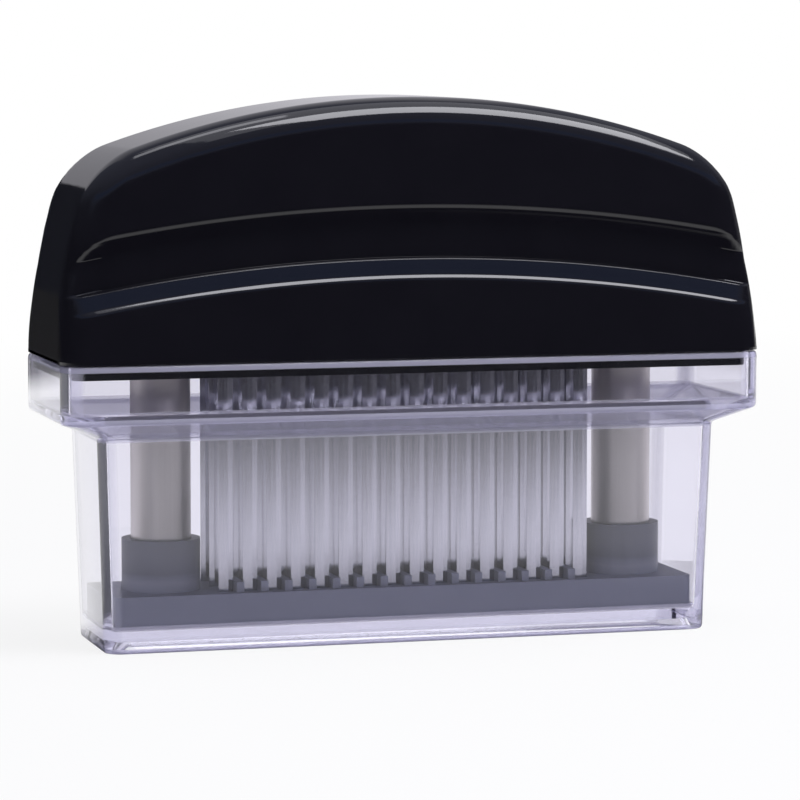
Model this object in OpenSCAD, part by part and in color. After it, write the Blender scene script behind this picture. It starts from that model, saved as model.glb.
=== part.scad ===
// Blade meat tenderizer standing in its clear cover.
// X runs along the handle, -Y is the front, +Z is up.
// The origin is the middle of the cover's underside, on the table.

/* [Blades] */
// Blades in one row
blade_cols = 16; // [8:1:20]
// Distance between neighbouring blades of a row
blade_pitch = 5.22; // [4.6:0.02:6.2]
// Distance between the three rows
row_pitch = 8.3; // [7.6:0.1:10]
// Width of one blade
blade_w = 3.1; // [2:0.1:3.8]
// Thickness of one blade
blade_t = 0.6; // [0.4:0.1:1]
// Height of the slanted cutting tip
blade_tip_h = 3.4; // [2:0.1:5]
// Distance of the blade tips above the guard's underside
tip_inset = 1.3; // [0.4:0.1:3]

/* [Blade holders] */
// Height of the bars that hold the blades
holder_h = 8.2; // [6:0.1:12]
// Width of one holder bar
holder_w = 6.2; // [4.8:0.1:7.2]
// Height of the wider head on top of a blade
head_h = 1.4; // [1:0.1:3]
// How far that head stands out on each side
head_side = 0.4; // [0.2:0.05:0.6]
// Thickness of the plate that holds the bars down
retainer_t = 1.6; // [1:0.1:3]
// Width of that plate outside its screws
retainer_edge = 2.6; // [2.2:0.1:2.8]
// Distance of its screws from the outer bars
retainer_off = 3.4; // [3:0.1:3.6]

/* [Guard] */
// Thickness of the slotted guard slab
slab_h = 6.8; // [5:0.1:9]
// Slab beyond the outer blade rows
slab_side = 3.8; // [3:0.1:6]
// Slab beyond the posts' centres
slab_end = 12.15; // [10:0.05:16]
// Corner radius of the slab
slab_r = 1.6; // [0.6:0.1:3]
// Diameter of the towers round the posts
tower_d = 16.6; // [15.6:0.1:17.2]
// Height of the towers above the slab
tower_h = 10.8; // [6:0.1:16]
// Height of the ribs between the blades
comb_h = 2.2; // [1:0.1:4]
// Width of those ribs
comb_w = 1.6; // [1:0.1:1.8]

/* [Posts] */
// Diameter of the steel guide posts
post_d = 12.7; // [11:0.1:12.9]
// Radial running gap between post and bush
post_clear = 0.06; // [0.02:0.01:0.1]
// Wall of the bush round a post
bush_wall = 0.9; // [0.7:0.05:1.3]
// Height of the bush
bush_h = 4.4; // [3:0.1:8]
// Travel of the guard towards the handle
stroke = 25; // [15:0.5:26]
// Thickness of the stop disc on top of a post
stop_h = 2.2; // [1.5:0.1:3]
// Gap between the outer blades and a spring sleeve
sleeve_gap = 1.95; // [0.7:0.05:3]
// Wall of the spring sleeves
sleeve_wall = 1.2; // [1:0.1:1.8]

/* [Springs] */
// Wire of the return springs
wire_d = 1; // [0.7:0.1:1.2]
// Mean diameter of the coils
coil_d = 10.8; // [9.6:0.1:11.4]
// Turns, with the closed turn at each end
coils = 7; // [6:1:9]
// Thickness of the cap over a spring
cap_t = 1.8; // [1.2:0.1:2.6]
// Room between the spring sleeves and the housing's ceiling
sleeve_room = 3.2; // [2.8:0.1:8]

/* [Cover] */
// Height of the narrow body, up to the step
body_h = 45; // [36:0.5:56]
// Height of the slanted step
step_h = 3.5; // [2:0.1:6]
// Height of the wide rim above the step
rim_h = 12; // [8:0.1:16]
// Step outwards at the ends
step_l = 8.5; // [7.2:0.1:12]
// Step outwards at front and back
step_w = 5.2; // [4.6:0.1:9]
// Widening of the body towards the step, on each side
draft = 1.4; // [0.4:0.1:2.4]
// Wall of the cover
cover_wall = 2.2; // [1.4:0.1:2.8]
// Thickness of the cover's floor
cover_floor = 2.3; // [1.4:0.1:4]
// Height of the foot ring under the floor
foot_h = 2.15; // [1:0.05:4]
// Corner radius of the body
body_r = 3.6; // [3:0.1:6]
// Corner radius of the rim
rim_r = 4.6; // [3.4:0.1:7]

/* [Housing] */
// Height of the handle housing
housing_h = 54.4; // [50:0.2:66]
// Radius of the crown, seen from the front
crown_r = 178; // [150:1:400]
// Radius of the ends' bow
end_bow_r = 107; // [60:1:200]
// Height where the ends start to bow in
end_bow_z = 1; // [0:0.2:16]
// Radius from the crown into the ends
corner_r = 6.5; // [4:0.5:18]
// Radius of the long edges
edge_r = 6; // [4:0.2:9]
// Loss of half depth from the mouth to the crown
face_lean = 2.5; // [0:0.1:4]
// Wall of the housing
housing_wall = 2.4; // [1.8:0.1:3]

/* [Finger grooves] */
// Height of the groove's middle above the housing's mouth
groove_z = 24.6; // [20:0.2:29]
// Width of the groove at the face
groove_w = 16.4; // [10:0.2:20]
// Width of the groove's flat floor
groove_floor = 6.6; // [3:0.2:8]
// Depth of the groove
groove_deep = 2.8; // [1:0.1:3.2]
// Radius of the groove's arch
groove_r = 380; // [250:5:900]

/* [Housing base] */
// Part of the base that hangs down into the cover
skirt_h = 3.2; // [2.4:0.1:6]
// Thickness of the base plate
plate_t = 2.8; // [2:0.1:4]
// Height of the base's upright edge
lip_h = 8.2; // [5:0.1:14]
// Thickness of that edge
lip_t = 1.8; // [1.2:0.1:2.4]

/* [Screws] */
// Thread diameter of the housing's screws
screw_d = 2.9; // [2.2:0.1:3.5]
// Thread length of the housing's screws
screw_l = 10; // [6:0.5:14]
// Distance of those screws from the housing's outer faces
boss_inset = 9.6; // [9:0.1:11]
// Wall of the bosses that they cut into
boss_wall = 1.7; // [1.3:0.1:2]
// Thread length of the blade retainer's screws
retainer_screw_l = 7; // [4:0.5:7.5]
// Thread diameter of the post screws
post_screw_d = 5; // [4:0.1:6]
// Thread length in a post
post_thread = 12; // [8:0.5:16]
// Height of the head on a post's top screw
post_head_h = 2.4; // [1.6:0.1:3.4]

/* [Clearances] */
// Gap between parts that move past each other
gap = 0.3; // [0.2:0.05:0.6]
// Gap round the slab inside the cover
cover_gap = 0.5; // [0.3:0.05:1]
// Gap round a blade in the guard's slots
slot_gap = 0.25; // [0.15:0.05:0.35]
// Gap round fixed pieces in their seats
seat_gap = 0.05; // [0.02:0.01:0.1]

/* [Hidden] */
$fn = 64;
eps = 0.01;

// Diameters round the posts, from the inside out
bush_bore = post_d + 2 * post_clear;
bush_d = bush_bore + 2 * bush_wall;
sleeve_bore = bush_d + 2 * seat_gap;
sleeve_d = sleeve_bore + 2 * sleeve_wall;
stop_d = sleeve_bore - 2 * gap;

// Lengths and widths, from the blades out
field_x = (blade_cols - 1) / 2 * blade_pitch + blade_w / 2;
post_x = field_x + sleeve_gap + sleeve_d / 2;
slab_x = post_x + slab_end;
slab_y = row_pitch + blade_t / 2 + slab_side;
body_x = slab_x + cover_gap + cover_wall;
body_y = slab_y + cover_gap + cover_wall;
rim_x = body_x + draft + step_l;
rim_y = body_y + draft + step_w;
housing_x = rim_x;
housing_y = rim_y;
base_x = rim_x - cover_wall - gap - 0.1;
base_y = rim_y - cover_wall - gap - 0.1;
lip_x = housing_x - housing_wall - 2 * gap - 0.3;
lip_y = housing_y - housing_wall - 2 * gap - 0.3;

// Heights, from the table up
floor_z = foot_h + cover_floor;
slab_z = floor_z + gap;
slab_top = slab_z + slab_h;
tower_top = slab_top + tower_h;
tip_z = slab_z + tip_inset;
cover_h = body_h + step_h + rim_h;
mouth_z = cover_h + gap - 0.1;
crown_z = mouth_z + housing_h;
base_z = mouth_z - skirt_h;
plate_top = base_z + plate_t;
bush_z = base_z + 1;
bush_top = bush_z + bush_h;
stop_z = bush_top + gap;
stop_top = stop_z + stop_h;
post_seat = slab_z + slab_h / 2;
holder_top = plate_top + holder_h;
head_z = holder_top - head_h;

// ---- Outer form of the housing ------------------------------------
// A distance from each face, negative inside. Two faces meet in a round edge.
function hyp(a, b) = sqrt(a * a + b * b);
function mix(a, b, t) = a + (b - a) * min(max(t, 0), 1);
function round_edge(d1, d2, r) =
    min(max(d1, d2), -r) + hyp(max(d1 + r, 0), max(d2 + r, 0));
function crown_side(x, z) = hyp(x, z - crown_z + crown_r) - crown_r;
function end_side(x, z) =
    let (h = z - mouth_z - end_bow_z, bow = end_bow_r)
    h < 0 ? abs(x) - housing_x : hyp(abs(x) - housing_x + bow, h) - bow;
function half_depth(z) = mix(housing_y, housing_y - face_lean, (z - mouth_z) / housing_h);
// The upright edges are rim_r wide at the mouth, open out and close to edge_r.
function edge_at(z) =
    let (t = (z - mouth_z) / housing_h)
    t < 0.35 ? mix(rim_r, edge_r + 2, t / 0.35) : mix(edge_r + 2, edge_r, (t - 0.35) / 0.3);
function housing_side(x, y, z, inset) =
    round_edge(round_edge(crown_side(x, z), end_side(x, z), corner_r) + inset,
               abs(y) - half_depth(z) + inset, max(edge_at(z) - inset, 1.5));

// The groove's middle line, and its depth at a height t above that line.
function groove_mid(x) = mouth_z + groove_z + sqrt(groove_r * groove_r - x * x) - groove_r;
function groove_at(t) =
    groove_deep * min(max((groove_w / 2 - abs(t)) / (groove_w - groove_floor) * 2, 0), 1);

// A point of the surface: a ray leaves the spine at sx, turned by a in plan and
// tipped up by w, over a floor line that runs from the mouth to the groove.
spine_inset = 21;
spine_x = housing_x - spine_inset;
ray_reach = spine_inset + housing_h;
function line_at(x, row) =
    row[0] == 0 ? mix(mouth_z, groove_mid(x) - groove_w / 2, row[1])
                : groove_mid(x) + row[1];
function ray_point(sx, a, row, len) =
    let (x = sx + len * cos(row[2]) * cos(a))
    [x, len * cos(row[2]) * sin(a), line_at(x, row) + len * sin(row[2])];
function outside(p, inset) = housing_side(p[0], p[1], p[2], inset) > 0;
function ray_length(sx, a, row, inset, lo, hi, n) =
    n == 0 ? (lo + hi) / 2
    : let (m = (lo + hi) / 2)
      outside(ray_point(sx, a, row, m), inset)
      ? ray_length(sx, a, row, inset, lo, m, n - 1)
      : ray_length(sx, a, row, inset, m, hi, n - 1);
function housing_point(sx, a, row, inset) =
    let (p = ray_point(sx, a, row, ray_length(sx, a, row, inset, 0, ray_reach, 26)),
         face = half_depth(p[2]) - inset - groove_at(p[2] - groove_mid(p[0])))
    [p[0], min(max(p[1], -face), face), p[2]];

// Rows: [0, share of the way to the groove, 0] or [1, height over the groove, tip angle].
// The tip angles lie close together where the front turns into the crown.
crown_tips = [14, 28, 38, 43, 48, 53, 59, 68, 78, 86];
housing_rows = concat(
    [for (t = [0, 0.12, 0.5]) [0, t, 0]],
    [for (t = [-groove_w, -groove_floor, groove_floor, groove_w]) [1, t / 2, 0]],
    [for (w = crown_tips) [1, groove_w / 2, w]]);
// Columns: round the right end, along the back, round the left end, along the front.
fan = [for (a = [-80:10:80]) a];
span = 12;
housing_cols = concat(
    [for (a = fan) [spine_x, a]],
    [for (i = [0:span]) [spine_x * (1 - 2 * i / span), 90]],
    [for (a = fan) [-spine_x, 180 + a]],
    [for (i = [0:span]) [spine_x * (2 * i / span - 1), 270]]);

module housing_skin() {
    n = len(housing_cols);
    rows = len(housing_rows);
    outer = [for (r = housing_rows) for (c = housing_cols) housing_point(c[0], c[1], r, 0)];
    inner = [for (r = housing_rows) for (c = housing_cols)
             housing_point(c[0], c[1], r, housing_wall)];
    in0 = rows * n;
    side = [for (k = [0:rows - 2]) for (i = [0:n - 1])
            let (a = k * n + i, b = k * n + (i + 1) % n)
            each [[a, a + n, b + n], [a, b + n, b],
                  [in0 + a, in0 + b + n, in0 + a + n], [in0 + a, in0 + b, in0 + b + n]]];
    mouth = [for (i = [0:n - 1]) let (a = i, b = (i + 1) % n)
             each [[a, b, in0 + b], [a, in0 + b, in0 + a]]];
    // The last row is a narrow loop: strips across it, then a fan at each end.
    f = len(fan);
    top = (rows - 1) * n;
    back = function (i) top + f + i;
    front = function (i) top + 2 * f + span + 1 + span - i;
    lid = concat(
        [for (i = [0:span - 1]) each [[back(i), back(i + 1), front(i + 1)],
                                      [back(i), front(i + 1), front(i)]]],
        [for (i = [0:f - 2]) [front(0), top + i, top + i + 1]],
        [[front(0), top + f - 1, back(0)]],
        [for (i = [0:f - 2]) [back(span), top + f + span + 1 + i, top + f + span + 2 + i]],
        [[back(span), top + 2 * f + span, front(span)]]);
    lid_out = [for (t = lid) [t[0], t[2], t[1]]];
    lid_in = [for (t = lid) t + [in0, in0, in0]];
    polyhedron(points = concat(outer, inner), faces = concat(side, mouth, lid_out, lid_in));
}

// Height of the inner ceiling over a point.
function ceiling(x, y, lo, hi, n = 24) =
    n == 0 ? lo
    : let (m = (lo + hi) / 2)
      housing_side(x, y, m, housing_wall) > 0 ? ceiling(x, y, lo, m, n - 1)
                                              : ceiling(x, y, m, hi, n - 1);
sleeve_top = ceiling(post_x + sleeve_d / 2, 0, mouth_z, crown_z) - sleeve_room;
cap_top = sleeve_top + cap_t;
boss_x = housing_x - boss_inset;
boss_y = housing_y - boss_inset;
boss_d = screw_d + 2 * boss_wall;
boss_top = ceiling(boss_x + boss_d / 2, boss_y + boss_d / 4, mouth_z, crown_z) + 0.4;
retainer_screw_x = 3.5 * blade_pitch;
retainer_screw_y = row_pitch + holder_w / 2 + retainer_off;

// ---- Helpers -------------------------------------------------------
module rounded(x, y, r, z0, z1) {
    translate([0, 0, z0]) linear_extrude(z1 - z0) union() {
        square([2 * (x - r), 2 * y], center = true);
        square([2 * x, 2 * (y - r)], center = true);
        for (sx = [-1, 1], sy = [-1, 1]) translate([sx * (x - r), sy * (y - r)]) circle(r);
    }
}
module disc(d, z0, z1) translate([0, 0, z0]) cylinder(d = d, h = z1 - z0);
module at_posts(side) translate([side * post_x, 0, 0]) children();
module at_boss() for (sx = [-1, 1], sy = [-1, 1]) translate([sx * boss_x, sy * boss_y, 0]) children();
module at_retainer_screw()
    for (sx = [-1, 1], sy = [-1, 1])
        translate([sx * retainer_screw_x, sy * retainer_screw_y, 0]) children();
module at_blade(row)
    for (i = [0:blade_cols - 1])
        translate([(i - (blade_cols - 1) / 2) * blade_pitch, row * row_pitch, 0]) children();

// Cross-recessed screw: head from z 0 down, thread up from z 0.
module screw(thread_d, thread_l, head_d, head_h) difference() {
    union() {
        disc(head_d, -head_h, 0);
        disc(thread_d, -eps, thread_l);
    }
    for (a = [0, 90]) rotate(a)
        translate([0, 0, -head_h]) cube([head_d * 0.6, head_d * 0.14, head_h * 1.1], center = true);
}

// One closed skin through a list of rounded rectangles [x, y, r, z].
corner_steps = 5;
function loop(s) = [for (q = [0:3]) for (k = [0:corner_steps])
    let (a = q * 90 + k * 90 / corner_steps,
         cx = (q == 0 || q == 3 ? 1 : -1) * (s[0] - s[2]), cy = (q < 2 ? 1 : -1) * (s[1] - s[2]))
    [cx + s[2] * cos(a), cy + s[2] * sin(a), s[3]]];
module loft(sections) {
    n = 4 * (corner_steps + 1);
    last = (len(sections) - 1) * n;
    polyhedron(
        points = [for (s = sections) each loop(s)],
        faces = concat(
            [[for (i = [0:n - 1]) i]],
            [for (k = [0:len(sections) - 2]) for (i = [0:n - 1])
             let (a = k * n + i, b = k * n + (i + 1) % n)
             each [[a, a + n, b + n], [a, b + n, b]]],
            [[for (i = [n - 1:-1:0]) last + i]]));
}

// ---- Cover ---------------------------------------------------------
// The skin runs from the middle of the underside over the foot ring, up the
// outside, over the rim and down the inside to the floor.
function body_at(z, inset, r) =
    let (d = draft * z / body_h - inset) [body_x + d, body_y + d, max(r - inset, 1), z];
function rim_at(z, inset, r) = [rim_x - inset, rim_y - inset, max(r - inset, 1), z];
module clear_cover() color([0.86, 0.85, 0.93, 0.35]) loft([
    [body_x - cover_wall - 1, body_y - cover_wall - 1, body_r - 1.4, foot_h],
    [body_x - cover_wall, body_y - cover_wall, body_r - 1.4, 0],
    body_at(0, 0.6, body_r),
    body_at(0.6, 0, body_r),
    body_at(body_h, 0, body_r),
    rim_at(body_h + step_h, 0.5, rim_r),
    rim_at(body_h + step_h + 0.8, 0, rim_r),
    rim_at(cover_h, 0, rim_r),
    rim_at(cover_h, cover_wall, rim_r),
    rim_at(body_h + step_h + cover_wall * 0.8, cover_wall, rim_r),
    body_at(body_h + cover_wall * 0.8, cover_wall, body_r),
    body_at(floor_z + 0.5, cover_wall, body_r),
    body_at(floor_z, cover_wall + 0.5, body_r)]);

// ---- Handle --------------------------------------------------------
module housing_shell() color([0.05, 0.05, 0.06]) difference() {
    union() {
        housing_skin();
        at_boss() disc(boss_d, plate_top + 0.2, boss_top);
    }
    at_boss() disc(screw_d - 0.5, plate_top, plate_top + screw_l + 2);
}

module housing_base() color([0.08, 0.08, 0.1]) difference() {
    union() {
        rounded(base_x, base_y, rim_r - cover_wall, base_z, plate_top);
        difference() {
            rounded(lip_x, lip_y, edge_r - housing_wall, plate_top - eps, base_z + lip_h);
            rounded(lip_x - lip_t, lip_y - lip_t, 1.5, plate_top - 1, base_z + lip_h + 1);
        }
        for (s = [-1, 1]) at_posts(s) disc(sleeve_d, base_z, sleeve_top);
        at_retainer_screw() disc(screw_d - 0.5 + 2 * boss_wall, base_z + 1, holder_top);
    }
    for (s = [-1, 1]) at_posts(s) {
        disc(sleeve_bore, bush_z, sleeve_top + 1);
        disc(bush_bore + 0.6, base_z - 1, bush_z + 1);
    }
    for (row = [-1:1]) at_blade(row) blade_slot(blade_w, base_z - 1, plate_top + 1);
    at_boss() {
        disc(screw_d + 0.4, base_z - 1, plate_top + 1);
        disc(2 * screw_d + 0.5, base_z - 1, base_z + 1.5);
    }
    at_retainer_screw() disc(screw_d - 0.5, holder_top - retainer_screw_l, holder_top + 1);
}

module housing_screws() color([0.7, 0.7, 0.72]) at_boss()
    translate([0, 0, base_z + 1.5]) screw(screw_d - 0.5, screw_l, 2 * screw_d, 1.4);

module guide_bush(side) color([0.85, 0.85, 0.82]) at_posts(side) difference() {
    disc(bush_d, bush_z, bush_top);
    disc(bush_bore, bush_z - 1, bush_top + 1);
}
module guide_bush_left() guide_bush(-1);
module guide_bush_right() guide_bush(1);

// The cap's peg holds the spring and ends the travel.
module spring_cap(side) color([0.12, 0.12, 0.14]) at_posts(side) {
    disc(sleeve_d, sleeve_top, cap_top);
    disc(coil_d - wire_d - 1, stop_top + post_head_h + stroke + gap, sleeve_top + eps);
}
module spring_cap_left() spring_cap(-1);
module spring_cap_right() spring_cap(1);

// The wire climbs slowly in the closed turn at each end and evenly between.
spring_low = stop_top + wire_d / 2 + seat_gap;
spring_high = sleeve_top - wire_d / 2 - seat_gap;
closed_rise = wire_d + 0.6;
turn_steps = 8;
wire_sides = 6;
function coil_z(t) =
    t < 1 ? spring_low + closed_rise * t
    : t > coils - 1 ? spring_high - closed_rise * (coils - t)
    : spring_low + closed_rise
      + (spring_high - spring_low - 2 * closed_rise) * (t - 1) / (coils - 2);
function coil_point(t) = [coil_d / 2 * cos(360 * t), coil_d / 2 * sin(360 * t), coil_z(t)];
module return_spring(side) color([0.75, 0.75, 0.78]) at_posts(side) {
    rings = turn_steps * coils;
    echo(spring_least_gap = min([for (k = [0:turn_steps * (coils - 1)])
        coil_z((k + turn_steps) / turn_steps) - coil_z(k / turn_steps)]) - wire_d);
    polyhedron(
        points = [for (k = [0:rings]) for (j = [0:wire_sides - 1])
            let (p = coil_point(k / turn_steps), a = 45 * k, b = 360 * j / wire_sides)
            p + wire_d / 2 * [cos(b) * cos(a), cos(b) * sin(a), sin(b)]],
        faces = concat(
            [[for (j = [wire_sides - 1:-1:0]) j]],
            [for (k = [0:rings - 1]) for (j = [0:wire_sides - 1])
             let (a = k * wire_sides + j, b = k * wire_sides + (j + 1) % wire_sides)
             each [[a, b + wire_sides, a + wire_sides], [a, b, b + wire_sides]]],
            [[for (j = [0:wire_sides - 1]) rings * wire_sides + j]]));
}
module return_spring_left() return_spring(-1);
module return_spring_right() return_spring(1);

// ---- Blades and what holds them ------------------------------------
// A blade hangs by the head on its top in a pocket of its bar.
module blade() rotate([90, 0, 0]) translate([0, 0, -blade_t / 2]) linear_extrude(blade_t) union() {
    polygon([[-blade_w / 2, holder_top], [-blade_w / 2, tip_z],
             [blade_w / 2, tip_z + blade_tip_h], [blade_w / 2, holder_top]]);
    translate([-blade_w / 2 - head_side, head_z]) square([blade_w + 2 * head_side, head_h]);
}
module blade_row(row) color([0.8, 0.8, 0.84]) at_blade(row) blade();
module blade_row_front() blade_row(-1);
module blade_row_middle() blade_row(0);
module blade_row_rear() blade_row(1);

module blade_slot(width, z0, z1)
    translate([-width / 2 - seat_gap, -blade_t / 2 - seat_gap, z0])
        cube([width + 2 * seat_gap, blade_t + 2 * seat_gap, z1 - z0]);
module blade_holder(row) color([0.16, 0.16, 0.18]) difference() {
    translate([-field_x - head_side, row * row_pitch - holder_w / 2, plate_top])
        cube([2 * (field_x + head_side), holder_w, holder_h]);
    at_blade(row) blade_slot(blade_w, plate_top - 1, holder_top + 1);
    at_blade(row) blade_slot(blade_w + 2 * head_side, head_z, holder_top + 1);
}
module blade_holder_front() blade_holder(-1);
module blade_holder_middle() blade_holder(0);
module blade_holder_rear() blade_holder(1);

module blade_retainer() color([0.6, 0.6, 0.63]) difference() {
    rounded(field_x, retainer_screw_y + retainer_edge, retainer_edge, holder_top, holder_top + retainer_t);
    at_retainer_screw() disc(screw_d + 0.4, holder_top - 1, holder_top + retainer_t + 1);
}
module retainer_screws() color([0.7, 0.7, 0.72]) at_retainer_screw()
    translate([0, 0, holder_top + retainer_t]) mirror([0, 0, 1])
        screw(screw_d - 0.5, retainer_screw_l, 2 * screw_d, 1.6);

// ---- Guard and posts -----------------------------------------------
module guard_plate() color([0.38, 0.39, 0.46]) difference() {
    union() {
        rounded(slab_x, slab_y, slab_r, slab_z, slab_top);
        for (s = [-1, 1]) at_posts(s) disc(tower_d, slab_top - eps, tower_top);
        for (i = [1:blade_cols - 1])
            translate([(i - blade_cols / 2) * blade_pitch - comb_w / 2, -slab_y + slab_r, slab_top - eps])
                cube([comb_w, 2 * (slab_y - slab_r), comb_h]);
    }
    for (row = [-1:1]) at_blade(row) translate([0, 0, slab_z - 1])
        translate([-blade_w / 2 - slot_gap, -blade_t / 2 - slot_gap, 0])
            cube([blade_w + 2 * slot_gap, blade_t + 2 * slot_gap, slab_h + comb_h + 2]);
    for (s = [-1, 1]) at_posts(s) {
        disc(post_d + 2 * seat_gap, post_seat, tower_top + 1);
        disc(post_screw_d + 0.5, slab_z - 1, post_seat + 1);
        disc(2 * post_screw_d, slab_z - 1, slab_z + slab_h * 0.3);
    }
}

module guide_post(side) color([0.72, 0.7, 0.68]) at_posts(side) difference() {
    disc(post_d, post_seat, stop_z);
    disc(post_screw_d, post_seat - 1, post_seat + post_thread);
    disc(post_screw_d, stop_z - post_thread, stop_z + 1);
}
module guide_post_left() guide_post(-1);
module guide_post_right() guide_post(1);

module post_stop(side) color([0.8, 0.8, 0.78]) at_posts(side) difference() {
    disc(stop_d, stop_z, stop_top);
    disc(post_screw_d + 0.2, stop_z - 1, stop_top + 1);
}
module post_stop_left() post_stop(-1);
module post_stop_right() post_stop(1);

module post_top_screws() color([0.7, 0.7, 0.72]) for (s = [-1, 1]) at_posts(s)
    translate([0, 0, stop_top]) mirror([0, 0, 1])
        screw(post_screw_d - 2 * seat_gap, stop_h + post_thread - 2, post_screw_d * 1.6, post_head_h);
module post_foot_screws() color([0.7, 0.7, 0.72]) for (s = [-1, 1]) at_posts(s)
    translate([0, 0, slab_z + slab_h * 0.3])
        screw(post_screw_d - 2 * seat_gap, slab_h * 0.2 + post_thread - 2, post_screw_d * 1.8, 1.9);

clear_cover();
housing_shell();
housing_base();
housing_screws();
guide_bush_left();
guide_bush_right();
spring_cap_left();
spring_cap_right();
return_spring_left();
return_spring_right();
blade_holder_front();
blade_holder_middle();
blade_holder_rear();
blade_row_front();
blade_row_middle();
blade_row_rear();
blade_retainer();
retainer_screws();
guard_plate();
guide_post_left();
guide_post_right();
post_stop_left();
post_stop_right();
post_top_screws();
post_foot_screws();
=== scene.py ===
import bmesh
import bpy
import numpy as np
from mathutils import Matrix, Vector


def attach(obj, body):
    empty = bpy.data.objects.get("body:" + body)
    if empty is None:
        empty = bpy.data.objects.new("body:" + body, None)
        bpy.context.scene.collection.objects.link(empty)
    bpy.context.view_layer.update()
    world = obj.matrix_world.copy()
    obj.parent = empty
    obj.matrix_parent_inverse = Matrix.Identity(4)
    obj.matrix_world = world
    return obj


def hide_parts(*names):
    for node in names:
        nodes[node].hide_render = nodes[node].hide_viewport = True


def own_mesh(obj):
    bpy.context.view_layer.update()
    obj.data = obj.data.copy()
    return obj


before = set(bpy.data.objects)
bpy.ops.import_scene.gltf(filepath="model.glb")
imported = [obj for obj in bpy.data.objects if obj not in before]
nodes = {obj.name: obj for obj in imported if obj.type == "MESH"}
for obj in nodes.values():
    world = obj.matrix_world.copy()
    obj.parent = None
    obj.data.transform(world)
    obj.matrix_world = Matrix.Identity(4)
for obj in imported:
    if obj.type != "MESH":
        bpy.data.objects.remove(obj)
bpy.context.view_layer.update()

MM = 0.001

# ---- Camera ---------------------------------------------------------------
# A long lens a little left of the handle's front and five degrees above the
# table, as the photograph was taken. All sizes from the cover on are in millimetres.
aim = Vector((0, 0, 0.0549161))
azimuth, elevation, distance = np.radians(-15.9668), np.radians(5.0786), 0.8313676
frame_px, focal_px, centre_px = 800, 3884.9361, (393.6613, 377.3862)
back = Vector((np.sin(azimuth) * np.cos(elevation), -np.cos(azimuth) * np.cos(elevation),
               np.sin(elevation)))
camera = bpy.data.objects.new("camera", bpy.data.cameras.new("camera"))
bpy.context.scene.collection.objects.link(camera)
camera.location = aim + back * distance
camera.rotation_mode = "QUATERNION"
camera.rotation_quaternion = (-back).to_track_quat("-Z", "Y")
camera.data.sensor_width = 36
camera.data.lens = focal_px / frame_px * camera.data.sensor_width
camera.data.shift_x = (frame_px / 2 - centre_px[0]) / frame_px
camera.data.shift_y = (centre_px[1] - frame_px / 2) / frame_px
camera.data.clip_start, camera.data.clip_end = 0.01, 20
bpy.context.scene.camera = camera

# ---- Clear cover ----------------------------------------------------------
# The tool stands in a clear box with a wide rim. It is injection moulded in
# one piece of general-purpose polystyrene, with a polished mould, a foot ring
# under the floor and a slanted step where the rim widens.
cover_foot = [66.06, 15.10]     # half length and half depth at the foot
cover_rim = [75.96, 21.70]
cover_body_h, cover_step_h, cover_h = 45.0, 3.5, 60.5
cover_draft, cover_wall = 1.4, 2.2
cover_foot_h, cover_floor_z = 2.15, 4.45
cover_body_r, cover_rim_r = 3.6, 4.6


def eased(rows, reach, steps=5):
    """Rounds every inner corner of a profile. Each row is a point in any number of
    dimensions; a corner becomes a quadratic Bezier curve that starts and ends reach
    before and after it, with a holding row just outside each end of the curve."""
    most, hold = 0.42, 0.15     # the longest reach as a share of a side, and the holding row's
    out = [rows[0]]
    for before, corner, after, r in zip(rows[:-2], rows[1:-1], rows[2:], reach):
        a, b = before - corner, after - corner
        near_a = corner + a * min(r / np.linalg.norm(a), most)
        near_b = corner + b * min(r / np.linalg.norm(b), most)
        t = np.linspace(0, 1, steps)[:, None]
        curve = (1 - t) ** 2 * near_a + 2 * t * (1 - t) * corner + t ** 2 * near_b
        out += [near_a + (near_a - corner) * hold, *curve, near_b + (near_b - corner) * hold]
    return np.array(out + [rows[-1]])


def rounded_loops(rows, corner_steps=10):
    """Rounded rectangles one above the other. Row = half length, half depth, corner
    radius, height; each corner is a quarter circle about its own centre."""
    angle = np.radians(np.concatenate([q * 90 + np.linspace(0, 90, corner_steps)
                                       for q in range(4)]))
    quarter = np.repeat(np.arange(4), corner_steps)
    sign_x = np.where((quarter == 0) | (quarter == 3), 1, -1)
    sign_y = np.where(quarter < 2, 1, -1)
    hx, hy, r, z = (rows[:, k, None] for k in range(4))
    x = sign_x * (hx - r) + r * np.cos(angle)
    y = sign_y * (hy - r) + r * np.sin(angle)
    return np.stack([x, y, np.broadcast_to(z, x.shape)], -1)


def grid_faces(rows, columns, start=0):
    """Four-sided faces between neighbouring rows of points, closed round the columns."""
    i, j = np.meshgrid(np.arange(rows - 1), np.arange(columns), indexing="ij")
    a, b = start + i * columns + j, start + i * columns + (j + 1) % columns
    return np.stack([a, b, b + columns, a + columns], -1).reshape(-1, 4)


def capped_faces(rows, columns):
    """The faces of a grid whose first and last rows are each filled by one flat face."""
    return [grid_faces(rows, columns), np.arange(columns)[None, ::-1],
            (rows - 1) * columns + np.arange(columns)[None, :]]


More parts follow.
